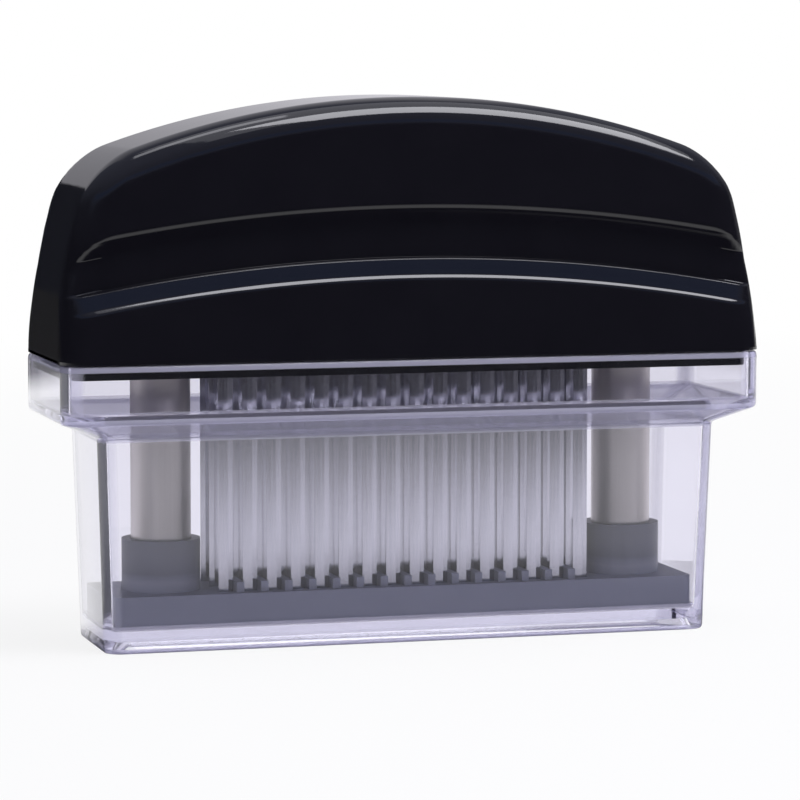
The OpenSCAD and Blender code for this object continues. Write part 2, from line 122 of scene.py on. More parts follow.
def make_piece(name, points, faces, crease=32):
    """A mesh object from points in mm and a list of face arrays. The faces are turned
    outwards if the enclosed volume, the sum over fans of a . (b x c) / 6, is negative.
    Shading is smooth, but sharp where faces meet at more than crease degrees."""
    points = points.reshape(-1, 3)
    volume = 0
    for f in faces:
        for k in range(1, f.shape[1] - 1):
            a, b, c = points[f[:, 0]], points[f[:, k]], points[f[:, k + 1]]
            volume += np.einsum("ij,ij->", a, np.cross(b, c))
    if volume < 0:
        faces = [f[:, ::-1] for f in faces]
    corners = np.concatenate([f.ravel() for f in faces]).astype(np.int32)
    sizes = np.concatenate([np.full(len(f), f.shape[1]) for f in faces])
    mesh = bpy.data.meshes.new(name)
    mesh.vertices.add(len(points))
    mesh.vertices.foreach_set("co", (points * MM).astype(np.float32).ravel())
    mesh.loops.add(len(corners))
    mesh.loops.foreach_set("vertex_index", corners)
    mesh.polygons.add(len(sizes))
    starts = np.concatenate([[0], np.cumsum(sizes)[:-1]])
    mesh.polygons.foreach_set("loop_start", starts.astype(np.int32))
    mesh.polygons.foreach_set("use_smooth", np.ones(len(sizes), bool))
    mesh.update(calc_edges=True)
    mesh.validate()
    mesh.set_sharp_from_angle(angle=np.radians(crease))
    piece = bpy.data.objects.new(name, mesh)
    bpy.context.scene.collection.objects.link(piece)
    return piece


def linear(hex_colour):
    """A written sRGB colour, turned into the linear values that the shader wants."""
    srgb = np.array([int(hex_colour[i:i + 2], 16) for i in (1, 3, 5)]) / 255
    value = np.where(srgb <= 0.04045, srgb / 12.92, ((srgb + 0.055) / 1.055) ** 2.4)
    return (*value.tolist(), 1.0)


def add_node(material, kind, settings=None, links=None):
    """Adds a node: settings are its properties or the values of its inputs, and links
    give, for an input, the node and output that feed it."""
    node = material.node_tree.nodes.new(kind)
    for key, value in (settings or {}).items():
        if isinstance(key, str) and hasattr(node, key):
            setattr(node, key, value)
        else:
            node.inputs[key].default_value = value
    for key, (source, output) in (links or {}).items():
        material.node_tree.links.new(source.outputs[output], node.inputs[key])
    return node


def new_material(name):
    """An empty node material."""
    material = bpy.data.materials.new(name)
    material.use_nodes = True
    material.node_tree.nodes.clear()
    return material


def body_row(z, inset, r):
    """A row of the tapered body at height z: the foot's size plus the draft up to there."""
    wide = cover_draft * z / cover_body_h - inset
    return np.array([cover_foot[0] + wide, cover_foot[1] + wide, max(r - inset, 1), z])


def rim_row(z, inset, r):
    """A row of the straight rim at height z."""
    return np.array([cover_rim[0] - inset, cover_rim[1] - inset, max(r - inset, 1), z])


step_top, lift = cover_body_h + cover_step_h, cover_wall * 0.8
cover_rows = [
    np.array([cover_foot[0] - cover_wall - 1, cover_foot[1] - cover_wall - 1, 2.2, cover_foot_h]),
    np.array([cover_foot[0] - cover_wall, cover_foot[1] - cover_wall, 2.2, 0]),
    body_row(0, 0, cover_body_r), body_row(cover_body_h, 0, cover_body_r),
    rim_row(step_top, 0, cover_rim_r), rim_row(cover_h, 0, cover_rim_r),
    rim_row(cover_h, cover_wall, cover_rim_r), rim_row(step_top + lift, cover_wall, cover_rim_r),
    body_row(cover_body_h + lift, cover_wall, cover_body_r),
    body_row(cover_floor_z, cover_wall, cover_body_r),
    np.array([cover_foot[0] - cover_wall - 3, cover_foot[1] - cover_wall - 3, 1, cover_floor_z])]
cover_reach = [0.5, 1.0, 0.7, 0.9, 1.2, 0.5, 0.5, 0.9, 1.0]
profile = eased(cover_rows, cover_reach)
loops = rounded_loops(profile)
cover = make_piece("cover_polystyrene", loops, capped_faces(*loops.shape[:2]))
# How much painted edge glow each point gets, a painted lavender that stands in for the light that
# the moulding's edges gather: 7 rows for each rounded corner of the profile, of which the first and
# last hold the flat beside it, and a lesser share on the upright corners in plan. The slanted step
# has its own share, outside and inside.
corner_edge_glow, rows_each = [1.0, 1.0, 0.8, 1.0, 1.0, 0.6, 0.7, 1.0, 0.9], 7
slant_outside, slant_inside, upright_share = 0.5, 0.8, 0.55
ring_edge_glow = np.outer(corner_edge_glow, [0, 1, 1, 1, 1, 1, 0]).ravel()
ring_edge_glow = np.concatenate([[0], ring_edge_glow, [0]])
ring_edge_glow[3 * rows_each:3 * rows_each + 2] = slant_outside
ring_edge_glow[7 * rows_each:7 * rows_each + 2] = slant_inside
turn_edge_glow = np.tile(np.sin(np.linspace(0, np.pi, loops.shape[1] // 4)) ** 0.5, 4)
painted_edge_glow = np.clip(ring_edge_glow[:, None] + upright_share * turn_edge_glow * (profile[:, 2:3] > 1.5), 0, 1)
cover.data.attributes.new("edge", "FLOAT", "POINT").data.foreach_set(
    "value", painted_edge_glow.astype(np.float32).ravel())
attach(cover, "cover")
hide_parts("clear_cover")

# Clear polystyrene, injection moulded and polished: a hard gloss over a clear body, with a slow
# flow waviness. Its edges are painted a milky lavender and made less clear, as painted light for
# the light that real edges gather. Its IOR was matched down from 1.59, and the coat gives the gloss
# of the full one.
clear_polystyrene = new_material("clear_polystyrene_moulded")
place = add_node(clear_polystyrene, "ShaderNodeTexCoord")
flow = add_node(clear_polystyrene, "ShaderNodeTexNoise", {"Scale": 45.0, "Detail": 1.0},
                {"Vector": (place, "Object")})              # waves about 22 mm long
wave = add_node(clear_polystyrene, "ShaderNodeBump", {"Strength": 0.15, "Distance": 0.0004},
                {"Height": (flow, "Fac")})
handling = add_node(clear_polystyrene, "ShaderNodeTexNoise", {"Scale": 160.0, "Detail": 6.0},
                    {"Vector": (place, "Object")})          # wiped smears about 6 mm wide
haze = add_node(clear_polystyrene, "ShaderNodeMapRange",
                {"From Min": 0.35, "From Max": 0.8, "To Min": 0.006, "To Max": 0.025},
                {"Value": (handling, "Fac")})
# The edge attribute is the painted edge glow: where it is high, the wall is less clear and a paler
# lavender.
edge = add_node(clear_polystyrene, "ShaderNodeAttribute", {"attribute_name": "edge"})
clarity = add_node(clear_polystyrene, "ShaderNodeMapRange", {"To Min": 1.0, "To Max": 0.55},
                   {"Value": (edge, "Fac")})
shade = add_node(clear_polystyrene, "ShaderNodeMix", {"data_type": "RGBA", 6: linear("#F8F7FD"),
                                                     7: linear("#E2DFF6")}, {0: (edge, "Fac")})
body = add_node(clear_polystyrene, "ShaderNodeBsdfPrincipled",
                {"IOR": 1.22, "Coat Weight": 1.0, "Coat IOR": 1.5, "Coat Roughness": 0.03},
                {"Base Color": (shade, 2), "Transmission Weight": (clarity, "Result"),
                 "Roughness": (haze, "Result"), "Normal": (wave, "Normal")})
tint = add_node(clear_polystyrene, "ShaderNodeVolumeAbsorption",
                {"Color": linear("#C9C5EA"), "Density": 22.0})
add_node(clear_polystyrene, "ShaderNodeOutputMaterial", {}, {"Surface": (body, "BSDF"),
                                                            "Volume": (tint, "Volume")})
cover.data.materials.append(clear_polystyrene)

# ---- Handle housing -------------------------------------------------------
# The bowed shell that the hand pushes on. It is moulded in gloss black ABS, open
# below, with a finger groove along front and back, and four screw bosses inside
# by which the base is screwed to it.
housing_x, housing_y, housing_h = 75.96, 21.70, 54.4
housing_mouth, housing_wall = 60.7, 2.4
housing_crown = housing_mouth + housing_h
crown_r, end_bow_r, end_bow_z, end_corner_r = 178.0, 107.0, 1.0, 6.5
edge_r, edge_r_middle, edge_r_least, face_lean = 6.0, 8.0, 1.5, 2.5
edge_full, edge_fall = 0.35, 0.3    # shares of the height by which the edge grows and shrinks
groove_z, groove_w, groove_r = 24.6, 16.4, 380.0
spine_x = housing_x - 21
boss_x, boss_y, boss_d, boss_bore, boss_foot, boss_top = 66.36, 12.10, 6.3, 2.4, 60.5, 90.9


def mix(a, b, t):
    """From a to b as t goes from 0 to 1."""
    return a + (b - a) * np.clip(t, 0, 1)


def round_edge(d1, d2, r):
    """Distance from two faces that meet in an edge of radius r."""
    return (np.minimum(np.maximum(d1, d2), -r)
            + np.hypot(np.maximum(d1 + r, 0), np.maximum(d2 + r, 0)))


def soft_min(a, b, width):
    """The lower of two values, with the corner where they cross rounded over width."""
    h = np.clip(0.5 + 0.5 * (b - a) / width, 0, 1)
    return mix(b, a, h) - width * h * (1 - h)


def half_depth(z):
    """Half the housing's depth at height z: the faces lean in evenly to the crown."""
    return mix(housing_y, housing_y - face_lean, (z - housing_mouth) / housing_h)


def housing_side(x, y, z, inset):
    """Signed distance from the housing: a crown arc of radius crown_r meets ends that
    bow in with end_bow_r, and both meet the leaning front and back in a rounded edge."""
    crown = np.hypot(x, z - housing_crown + crown_r) - crown_r
    h = z - housing_mouth - end_bow_z
    end = np.where(h < 0, np.abs(x) - housing_x,
                   np.hypot(np.abs(x) - housing_x + end_bow_r, h) - end_bow_r)
    t = (z - housing_mouth) / housing_h
    edge = np.where(t < edge_full, mix(cover_rim_r, edge_r_middle, t / edge_full),
                    mix(edge_r_middle, edge_r, (t - edge_full) / edge_fall))
    return round_edge(round_edge(crown, end, end_corner_r) + inset,
                      np.abs(y) - half_depth(z) + inset, np.maximum(edge - inset, edge_r_least))


def groove_mid(x):
    """Height of the groove's middle at x: an arc of radius groove_r."""
    return housing_mouth + groove_z + np.sqrt(groove_r ** 2 - x ** 2) - groove_r


# The groove's section, from below: height above its middle and depth behind the face.
# A lip, a wall that leans out, a sharp step, the upright floor, the overhanging upper
# wall and its wide rounding.
groove_line = np.array([(-8.5, 0), (-8.2, 0.08), (-7.3, 0.55), (-7.0, 0.65), (-3.8, 1.33),
                        (-3.4, 2.6), (3.3, 2.7), (4.6, 1.8), (5.6, 1.05), (6.6, 0.45), (7.6, 0.13),
                        (8.6, 0)])
groove_top = 9.2                # height above its middle at which the face is plain again
groove_soft, face_soft = 0.25, 0.5


def housing_surface(rows, columns, inset):
    """A ray leaves the spine at columns[:, 0], turned columns[:, 1] degrees in plan and
    tipped rows[:, 2] degrees, over a line rows[:, 1] of the way up to the groove (kind 0)
    or rows[:, 1] above its middle (kind 1). The surface is where it leaves the housing,
    found by halving. The groove then holds |y| back by its depth, which is averaged over
    half a millimetre of height so that its corners are round."""
    kind, share, tip = (rows[:, k, None] for k in range(3))
    tip, turn = np.radians(tip), np.radians(columns[:, 1])
    sx = columns[:, 0]

    def at(reach):
        x = sx + reach * np.cos(tip) * np.cos(turn)
        line = np.where(kind == 0, mix(housing_mouth, groove_mid(x) - groove_w / 2, share),
                        groove_mid(x) + share)
        return x, reach * np.cos(tip) * np.sin(turn), line + reach * np.sin(tip)

    low, high = np.zeros((len(rows), len(columns))), np.full((len(rows), len(columns)), 80.0)
    for _ in range(34):
        middle = (low + high) / 2
        out = housing_side(*at(middle), inset) > 0
        low, high = np.where(out, low, middle), np.where(out, middle, high)
    x, y, z = at(low)
    above = (z - groove_mid(x))[..., None] + np.linspace(-groove_soft, groove_soft, 9)
    weight = np.array([1, 3, 6, 9, 10, 9, 6, 3, 1])
    depth = (np.interp(above, groove_line[:, 0], groove_line[:, 1]) * weight).sum(-1) / weight.sum()
    face = half_depth(z) - inset + face_soft - depth - face_soft * np.clip(depth / 0.6, 0, 1)
    y = np.sign(y) * soft_min(np.abs(y), np.maximum(face, 0), face_soft)
    return np.stack([x, y, z], -1)


def run(*stops):
    """Numbers from stop to stop, each pair (last value, steps) evenly divided."""
    values = [np.array([stops[0]], float)]
    for end, steps in stops[1:]:
        values.append(np.linspace(values[-1][-1], end, steps + 1)[1:])
    return np.concatenate(values)


below = run(0, (0.02, 2), (0.3, 5), (0.9, 8))
across = run(-9.0, (-6.6, 24), (-4.3, 4), (-2.9, 20), (2.7, 6), (3.9, 14), (groove_top, 26))
tips = run(0, (30, 14), (62, 36), (90, 12))[1:]
housing_rows = np.concatenate([
    np.stack([0 * below, below, 0 * below], -1),
    np.stack([0 * across + 1, across, 0 * across], -1),
    np.stack([0 * tips + 1, 0 * tips + groove_top, tips], -1)])
fan = np.linspace(-90, 90, 61)
along = np.linspace(1, -1, 64)[1:-1] * spine_x
housing_columns = np.concatenate([
    np.stack([0 * fan + spine_x, fan], -1), np.stack([along, 0 * along + 90], -1),
    np.stack([0 * fan - spine_x, fan + 180], -1), np.stack([-along, 0 * along + 270], -1)])
outer = housing_surface(housing_rows, housing_columns, 0)
# The mouth's lower edge has a small flat bevel.
bevel_w, bevel_h = 0.5, 0.7
bevel = outer[:1] * [1 - bevel_w / housing_x, 1 - bevel_w / housing_y, 1]
outer[0, :, 2] += bevel_h
inner_below, inner_tips = run(0, (1, 12)), run(0, (90, 24))
inner_rows = np.concatenate([
    np.stack([0 * inner_below, inner_below, 0 * inner_below], -1),
    np.stack([0 * inner_tips + 1, 0 * inner_tips + groove_top, inner_tips], -1)])
inner = housing_surface(inner_rows, housing_columns, housing_wall)
shell = np.concatenate([inner[::-1], bevel, outer])
rows, n = shell.shape[:2]
# The first and last rows lie on the spine's line, where front and back meet.
f, s = len(fan), len(along)
mirror = np.concatenate([np.full(f, 0), 2 * f + 2 * s - 1 - np.arange(s),
                         np.full(f, f + s), 2 * f + s + np.arange(s)])
housing_faces = grid_faces(rows, n)
flat = np.arange(rows * n)
for row in (0, rows - 1):
    flat[row * n:(row + 1) * n] = row * n + mirror
housing_faces = flat[housing_faces]
same = (housing_faces == np.roll(housing_faces, 1, axis=1)).sum(1)
quads = housing_faces[same == 0]
thirds = housing_faces[same == 1]
keep = thirds != np.roll(thirds, 1, axis=1)
triangles = thirds[keep].reshape(-1, 3)
used, order = np.unique(np.concatenate([quads.ravel(), triangles.ravel()]), return_inverse=True)
quads, triangles = order[:quads.size].reshape(-1, 4), order[quads.size:].reshape(-1, 3)
housing = make_piece("housing_abs", shell.reshape(-1, 3)[used], [quads, triangles], crease=50)


lathe_steps = 96


def lathe(rows, centre, steps=lathe_steps):
    """A closed profile of (radius, height) rows turned about an upright axis."""
    rows = np.array(rows, float)
    turn = np.linspace(0, 2 * np.pi, steps, endpoint=False)
    r, z = rows[:, 0, None], rows[:, 1, None]
    return np.stack([centre[0] + r * np.cos(turn), centre[1] + r * np.sin(turn),
                     np.broadcast_to(z, (len(rows), steps))], -1)


boss_profile = [(boss_bore / 2, boss_foot), (boss_d / 2, boss_foot), (boss_d / 2, boss_top),
                (boss_bore / 2, boss_top), (boss_bore / 2, boss_foot)]
boss_steps, boss_rows = 32, len(boss_profile)
boss_rings = [lathe(boss_profile, (sx * boss_x, sy * boss_y), boss_steps)
              for sx in (-1, 1) for sy in (-1, 1)]
bosses = make_piece("housing_bosses_abs", np.concatenate(boss_rings),
                    [grid_faces(boss_rows, boss_steps, k * boss_steps * boss_rows)
                     for k in range(4)])
for piece in (housing, bosses):
    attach(piece, "head")
    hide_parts("housing_shell")

# ABS, injection moulded and polished to high gloss: near black with a cold cast,
# mirror-like, with the slight orange peel that a thick moulding keeps.
gloss_abs = new_material("abs_black_high_gloss")
place = add_node(gloss_abs, "ShaderNodeTexCoord")
peel = add_node(gloss_abs, "ShaderNodeTexNoise", {"Scale": 330.0, "Detail": 1.0},
                {"Vector": (place, "Object")})              # dimples about 3 mm wide
sink = add_node(gloss_abs, "ShaderNodeTexNoise", {"Scale": 40.0, "Detail": 0.0},
                {"Vector": (place, "Object")})              # sink marks about 25 mm wide
peel_bump = add_node(gloss_abs, "ShaderNodeBump", {"Strength": 0.12, "Distance": 0.00006},
                     {"Height": (peel, "Fac")})
sink_bump = add_node(gloss_abs, "ShaderNodeBump", {"Strength": 0.12, "Distance": 0.0004},
                     {"Height": (sink, "Fac"), "Normal": (peel_bump, "Normal")})
wiped = add_node(gloss_abs, "ShaderNodeTexNoise", {"Scale": 90.0, "Detail": 5.0},
                 {"Vector": (place, "Object")})             # wiped haze about 11 mm wide
haze = add_node(gloss_abs, "ShaderNodeMapRange",
                {"From Min": 0.35, "From Max": 0.75, "To Min": 0.045, "To Max": 0.085},
                {"Value": (wiped, "Fac")})
shade = add_node(gloss_abs, "ShaderNodeMix", {"data_type": "RGBA", 6: linear("#131218"),
                                             7: linear("#19181E")}, {0: (wiped, "Fac")})
body = add_node(gloss_abs, "ShaderNodeBsdfPrincipled", {"IOR": 1.53},
                {"Base Color": (shade, 2), "Roughness": (haze, "Result"),
                 "Normal": (sink_bump, "Normal")})
add_node(gloss_abs, "ShaderNodeOutputMaterial", {}, {"Surface": (body, "BSDF")})
housing.data.materials.append(gloss_abs)
bosses.data.materials.append(gloss_abs)

# ---- Housing base, its sleeves and screws ---------------------------------
# The base closes the housing below and hangs its skirt into the cover's rim. It is
# moulded in black ABS with a fine spark-eroded texture, carries a tall sleeve for
# each spring and is held up by four zinc-plated self-tapping screws.


def finished_copy(node, name, width, segments=2, angle=38):
    """The CAD node's form with its doubled points merged, its flat faces joined, and
    every edge sharper than angle degrees rounded by a bevel width mm wide."""
    mesh = nodes[node].data.copy()
    mesh.materials.clear()
    form = bmesh.new()
    form.from_mesh(mesh)
    bmesh.ops.remove_doubles(form, verts=form.verts, dist=1e-6)
    bmesh.ops.dissolve_limit(form, angle_limit=np.radians(1.0), verts=form.verts, edges=form.edges)
    form.to_mesh(mesh)
    form.free()
    for layer in list(mesh.uv_layers):
        mesh.uv_layers.remove(layer)
    mesh.polygons.foreach_set("use_smooth", np.ones(len(mesh.polygons), bool))
    mesh.set_sharp_from_angle(angle=np.radians(angle))
    piece = bpy.data.objects.new(name, mesh)
    bpy.context.scene.collection.objects.link(piece)
    edge = piece.modifiers.new("edge", "BEVEL")
    edge.width, edge.segments = width * MM, segments
    edge.limit_method, edge.angle_limit = "ANGLE", np.radians(angle)
    edge.harden_normals = True
    return piece


housing_base = finished_copy("housing_base", "housing_base_abs", 0.3)
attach(housing_base, "head")
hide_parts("housing_base")

# ABS, injection moulded from a spark-eroded mould: a soft sheen over very dark grey.
textured_abs = new_material("abs_black_fine_texture")
place = add_node(textured_abs, "ShaderNodeTexCoord")
grain = add_node(textured_abs, "ShaderNodeTexNoise", {"Scale": 2500.0, "Detail": 2.0},
                 {"Vector": (place, "Object")})             # grain 0.4 mm, twice the real one
grain_bump = add_node(textured_abs, "ShaderNodeBump", {"Strength": 0.35, "Distance": 0.00005},
                      {"Height": (grain, "Fac")})
cloud = add_node(textured_abs, "ShaderNodeTexNoise", {"Scale": 120.0, "Detail": 4.0},
                 {"Vector": (place, "Object")})             # flow clouds about 8 mm wide
shade = add_node(textured_abs, "ShaderNodeMix", {"data_type": "RGBA", 6: linear("#0F0F18"),
                                                7: linear("#171720")}, {0: (cloud, "Fac")})
sheen = add_node(textured_abs, "ShaderNodeMapRange", {"To Min": 0.38, "To Max": 0.5},
                 {"Value": (cloud, "Fac")})
body = add_node(textured_abs, "ShaderNodeBsdfPrincipled", {"IOR": 1.53},
                {"Base Color": (shade, 2), "Roughness": (sheen, "Result"),
                 "Normal": (grain_bump, "Normal")})
add_node(textured_abs, "ShaderNodeOutputMaterial", {}, {"Surface": (body, "BSDF")})
housing_base.data.materials.append(textured_abs)

for side in ("left", "right"):
    cap = finished_copy("spring_cap_" + side, "spring_cap_abs_" + side, 0.3)
    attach(cap, "head")
    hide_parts("spring_cap_" + side)
    cap.data.materials.append(textured_abs)

# Carbon steel, headed, rolled and zinc plated: bluish white with a fine, uneven haze.
zinc_steel = new_material("steel_zinc_plated")
place = add_node(zinc_steel, "ShaderNodeTexCoord")
spangle = add_node(zinc_steel, "ShaderNodeTexNoise", {"Scale": 900.0, "Detail": 4.0},
                   {"Vector": (place, "Object")})           # plating haze about 1 mm wide
shade = add_node(zinc_steel, "ShaderNodeMix", {"data_type": "RGBA", 6: linear("#A9ADB4"),
                                              7: linear("#C9CCD1")}, {0: (spangle, "Fac")})
haze = add_node(zinc_steel, "ShaderNodeMapRange", {"To Min": 0.25, "To Max": 0.42},
                {"Value": (spangle, "Fac")})
body = add_node(zinc_steel, "ShaderNodeBsdfPrincipled", {"Metallic": 1.0},
                {"Base Color": (shade, 2), "Roughness": (haze, "Result")})
add_node(zinc_steel, "ShaderNodeOutputMaterial", {}, {"Surface": (body, "BSDF")})

for node, body_name in (("housing_screws", "head"), ("retainer_screws", "head"),
                        ("post_top_screws", "guard"), ("post_foot_screws", "guard")):
    screws = finished_copy(node, node + "_zinc", 0.12)
    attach(screws, body_name)
    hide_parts(node)
    screws.data.materials.append(zinc_steel)

# ---- Guide posts ----------------------------------------------------------
# Two solid stainless rods, cut from drawn bar and polished lengthwise, carry the
# guard. Each is turned to a small chamfer at its ends and screwed up from below.
post_x, post_d, post_foot, post_head = 51.21, 12.7, 8.15, 63.20


# Stainless steel bar, drawn and then belt-polished along its length: a warm grey
# satin with fine upright lines that stretch each light into a broad, soft band.
satin_steel = new_material("stainless_satin_lengthwise")
place = add_node(satin_steel, "ShaderNodeTexCoord")
stretch = add_node(satin_steel, "ShaderNodeMapping", {"Scale": (1.0, 1.0, 0.012)},
                   {"Vector": (place, "Object")})
lines = add_node(satin_steel, "ShaderNodeTexNoise", {"Scale": 3000.0, "Detail": 3.0},
                 {"Vector": (stretch, "Vector")})           # lines 0.3 mm wide, coarser than real
lines_bump = add_node(satin_steel, "ShaderNodeBump", {"Strength": 0.3, "Distance": 0.00003},
                      {"Height": (lines, "Fac")})
shade = add_node(satin_steel, "ShaderNodeMix", {"data_type": "RGBA", 6: linear("#E0DAD8"),
                                               7: linear("#EDE8E6")}, {0: (lines, "Fac")})
haze = add_node(satin_steel, "ShaderNodeMapRange", {"To Min": 0.3, "To Max": 0.44},
                {"Value": (lines, "Fac")})
body = add_node(satin_steel, "ShaderNodeBsdfPrincipled", {"Metallic": 1.0},
                {"Base Color": (shade, 2), "Roughness": (haze, "Result"),
                 "Normal": (lines_bump, "Normal")})
add_node(satin_steel, "ShaderNodeOutputMaterial", {}, {"Surface": (body, "BSDF")})

post_r, chamfer_w, chamfer_h = post_d / 2, 0.6, 0.5
post_profile = [(post_r - chamfer_w, post_foot), (post_r, post_foot + chamfer_h),
                (post_r, post_foot + 1), (post_r, post_head - 1),
                (post_r, post_head - chamfer_h), (post_r - chamfer_w, post_head)]
for side, sign in (("left", -1), ("right", 1)):
    post = make_piece("guide_post_stainless_" + side, lathe(post_profile, (sign * post_x, 0)),
                      capped_faces(len(post_profile), lathe_steps))
    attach(post, "guard")
    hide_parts("guide_post_" + side)
    post.data.materials.append(satin_steel)

# ---- Guide bushes and post stops ------------------------------------------
# Each post runs in a plain bush of white acetal, pressed into the base from inside,
# and carries a turned acetal disc that stops the guard from dropping off.
bush_inner, bush_outer, bush_low, bush_high = 6.41, 7.31, 58.5, 62.9
bush_lead, bush_edge = 0.3, 0.2     # chamfers of the bore and of the outside
stop_bore_r, stop_r, stop_low, stop_high, stop_edge = 2.6, 7.06, 63.2, 65.4, 0.3
stop_profile = [(stop_bore_r, stop_low), (stop_r - stop_edge, stop_low),
                (stop_r, stop_low + stop_edge), (stop_r, stop_high - stop_edge),
                (stop_r - stop_edge, stop_high), (stop_bore_r, stop_high),
                (stop_bore_r, stop_low)]
bush_profile = [(bush_inner + bush_lead, bush_low), (bush_outer - bush_edge, bush_low),
                (bush_outer, bush_low + bush_edge), (bush_outer, bush_high - bush_edge),
                (bush_outer - bush_edge, bush_high), (bush_inner + bush_lead, bush_high),
                (bush_inner, bush_high - bush_lead), (bush_inner, bush_low + bush_lead),
                (bush_inner + bush_lead, bush_low)]

# Acetal, turned or moulded: waxy white, slightly see-through, with a soft sheen.
acetal = new_material("acetal_natural_white")
place = add_node(acetal, "ShaderNodeTexCoord")
cloud = add_node(acetal, "ShaderNodeTexNoise", {"Scale": 400.0, "Detail": 3.0},
                 {"Vector": (place, "Object")})             # clouds about 2.5 mm wide
shade = add_node(acetal, "ShaderNodeMix", {"data_type": "RGBA", 6: linear("#DEDCD4"),
                                          7: linear("#ECEAE3")}, {0: (cloud, "Fac")})
sheen = add_node(acetal, "ShaderNodeMapRange", {"To Min": 0.32, "To Max": 0.45},
                 {"Value": (cloud, "Fac")})
body = add_node(acetal, "ShaderNodeBsdfPrincipled", {"IOR": 1.48},
                {"Base Color": (shade, 2), "Roughness": (sheen, "Result")})
add_node(acetal, "ShaderNodeOutputMaterial", {}, {"Surface": (body, "BSDF")})

for side, sign in (("left", -1), ("right", 1)):
    for name, ring_profile, node, body_name in (
            ("guide_bush_acetal_", bush_profile, "guide_bush_", "head"),
            ("post_stop_acetal_", stop_profile, "post_stop_", "guard")):
        ring = make_piece(name + side, lathe(ring_profile, (sign * post_x, 0)),
                          [grid_faces(len(ring_profile), lathe_steps)])
        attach(ring, body_name)
        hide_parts(node + side)
        ring.data.materials.append(acetal)

# ---- Return springs -------------------------------------------------------
# A helical compression spring over each post, wound from bright music wire with
# closed ends, stands on the stop disc and pushes up against the cap of its sleeve.
wire_d, coil_d, coils = 1.0, 10.8, 7
spring_low, spring_high, spring_anchor, spring_foot = 65.95, 98.46, 99.01, 65.40
closed_rise, stroke = wire_d + 0.6, 25.0


def helix_tube(steps=40, sides=12):
    """The centre line climbs by closed_rise in each end turn and evenly between; the
    wire's circle is carried along it in the upright plane through the axis."""
    t = np.linspace(0, coils, coils * steps + 1)
    z = np.interp(t, [0, 1, coils - 1, coils],
                  [spring_low, spring_low + closed_rise, spring_high - closed_rise, spring_high])
    turn, ring = 2 * np.pi * t[:, None], np.linspace(0, 2 * np.pi, sides, endpoint=False)
    r = coil_d / 2 + wire_d / 2 * np.cos(ring)
    rise = z[:, None] + wire_d / 2 * np.sin(ring)
    return np.stack([r * np.cos(turn), r * np.sin(turn), rise], -1)


# Music wire, cold drawn: bright grey steel with fine lines round the wire.
spring_wire = new_material("music_wire_drawn")
place = add_node(spring_wire, "ShaderNodeTexCoord")
drawn = add_node(spring_wire, "ShaderNodeTexNoise", {"Scale": 1500.0, "Detail": 3.0},
                 {"Vector": (place, "Object")})             # die marks 0.7 mm, coarser than real
shade = add_node(spring_wire, "ShaderNodeMix", {"data_type": "RGBA", 6: linear("#A3A3A8"),
                                               7: linear("#BDBDC2")}, {0: (drawn, "Fac")})
haze = add_node(spring_wire, "ShaderNodeMapRange", {"To Min": 0.22, "To Max": 0.36},
                {"Value": (drawn, "Fac")})
body = add_node(spring_wire, "ShaderNodeBsdfPrincipled", {"Metallic": 1.0},
                {"Base Color": (shade, 2), "Roughness": (haze, "Result")})
add_node(spring_wire, "ShaderNodeOutputMaterial", {}, {"Surface": (body, "BSDF")})

coil = helix_tube()
for side, sign in (("left", -1), ("right", 1)):
    spring = make_piece("return_spring_wire_" + side, coil + [sign * post_x, 0, 0],
                        capped_faces(*coil.shape[:2]))
    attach(spring, "head")
    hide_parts("return_spring_" + side)
    spring.data.materials.append(spring_wire)
    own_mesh(spring)

# ---- Blades ---------------------------------------------------------------
# Forty-eight flat strips of hardened stainless steel in three rows. Each is blanked,
# ground to a slanted cutting tip and to a bevel along both long edges, and hangs by
# its wider head in a pocket of its holder bar.
blade_cols, blade_pitch, row_pitch = 16, 5.22, 8.3
blade_w, blade_t, blade_tip_h, blade_tip_z, blade_top = 3.1, 0.6, 3.4, 6.05, 68.5
head_h, head_side = 1.4, 0.4
grind_w, grind_t, tip_grind_h, sharp, shank_z = 1.05, 0.16, 1.1, 0.12, 14.0
neck_z, head_step = blade_top - 5, 0.05


def blade_strip():
    """Rings of eight points, from the tip up: two sharp long edges, a ground bevel
    beside each and a flat between. The tip's height rises evenly across the width."""
    half, flat_x, thin = blade_w / 2, blade_w / 2 - grind_w, grind_t / 2
    x = np.array([-half, -flat_x, flat_x, half, half, flat_x, -flat_x, -half])
    y = np.array([-thin, -blade_t / 2, -blade_t / 2, -thin, thin, blade_t / 2, blade_t / 2, thin])
    slope = blade_tip_z + blade_tip_h * (x + half) / blade_w
    rings = [np.stack([x, y * sharp, slope], -1), np.stack([x, y, slope + tip_grind_h], -1),
             np.stack([x, y, 0 * x + shank_z], -1), np.stack([x, y, 0 * x + neck_z], -1)]
    x = np.sign(x) * np.where(np.abs(x) > flat_x, half, flat_x)
    y = np.sign(y) * blade_t / 2
    wide = x * (half + head_side) / half
    for across_x, z in ((x, neck_z + 0.1), (x, blade_top - head_h - head_step),
                        (wide, blade_top - head_h), (wide, blade_top)):
        rings.append(np.stack([across_x, y, 0 * y + z], -1))
    return np.array(rings)


